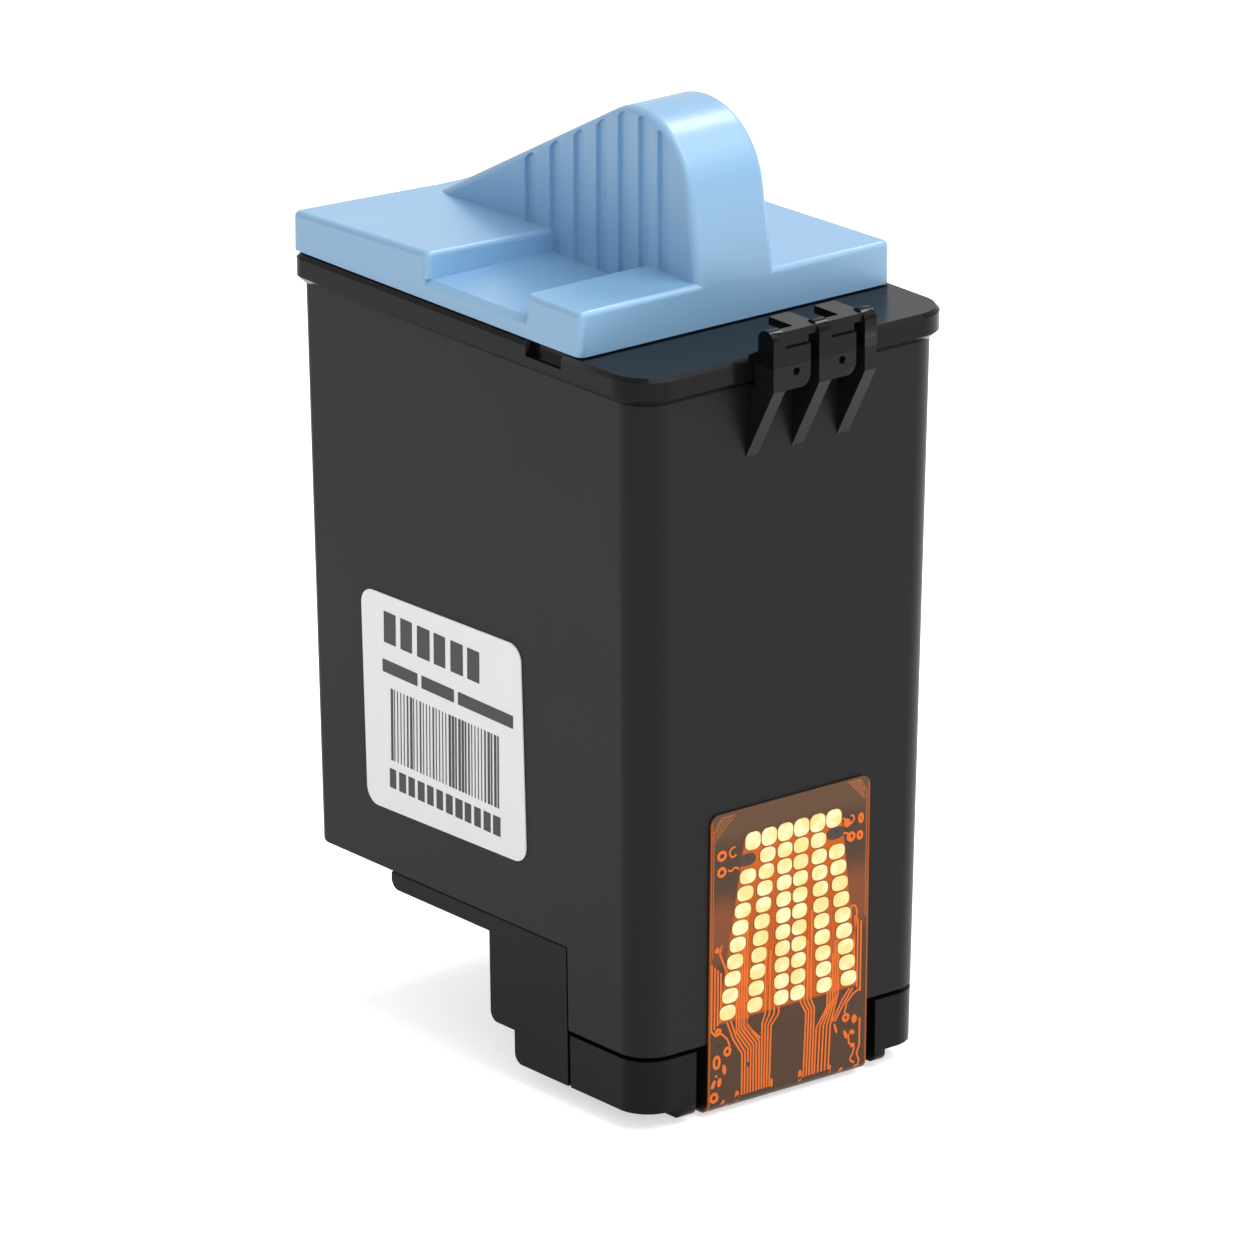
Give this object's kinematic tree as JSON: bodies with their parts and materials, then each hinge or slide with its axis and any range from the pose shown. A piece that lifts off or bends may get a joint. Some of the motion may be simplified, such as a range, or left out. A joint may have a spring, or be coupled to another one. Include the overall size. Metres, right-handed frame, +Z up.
{
  "type": "inkjet ink cartridge",
  "caption": "Foam-filled colour inkjet cartridge: tapered housing with a ribbed blue grip cap, latch lugs, a wrapped contact flex and a print head under its nose.",
  "frame": {"origin": "mid-width and mid-depth of the bounding box, at the level of the lowest point under the nose", "axes": "+Z up, from the print head to the grip; -Y is the side with the electrical contacts; X runs across that side, and the label is on -X"},
  "size_m": [0.0294, 0.043, 0.0724],
  "materials": {
    "black_plastic": "fine moulded grain",
    "black_gloss": "polished moulding",
    "blue_plastic": "satin moulding",
    "polyimide": "thin polyimide over copper",
    "gold": "gold plated",
    "paper_label": "coated label stock",
    "silicon": "polished silicon",
    "nozzle_metal": "gold plated foil",
    "adhesive": "cured adhesive",
    "foam": "open-cell foam, soaked",
    "steel_mesh": "fine woven mesh",
    "film": "thin film"
  },
  "bodies": {
    "root": {"body_shell": "black_plastic", "lid": "black_gloss", "grip_cap": "blue_plastic", "snout": "black_plastic", "nose_frame": "black_plastic", "die_bond": "adhesive", "heater_chip": "silicon", "nozzle_plate": "nozzle_metal", "bond_seals": "adhesive", "flex_adhesive": "adhesive", "flex_circuit": "polyimide", "contact_pads": "gold", "label": "paper_label", "foam_front": "foam", "foam_left": "foam", "foam_right": "foam", "filter_front": "steel_mesh", "filter_left": "steel_mesh", "filter_right": "steel_mesh", "plug_front": "black_plastic", "plug_left": "black_plastic", "plug_right": "black_plastic", "vent_seal_front": "film", "vent_seal_rear": "film"}
  },
  "joints": []
}
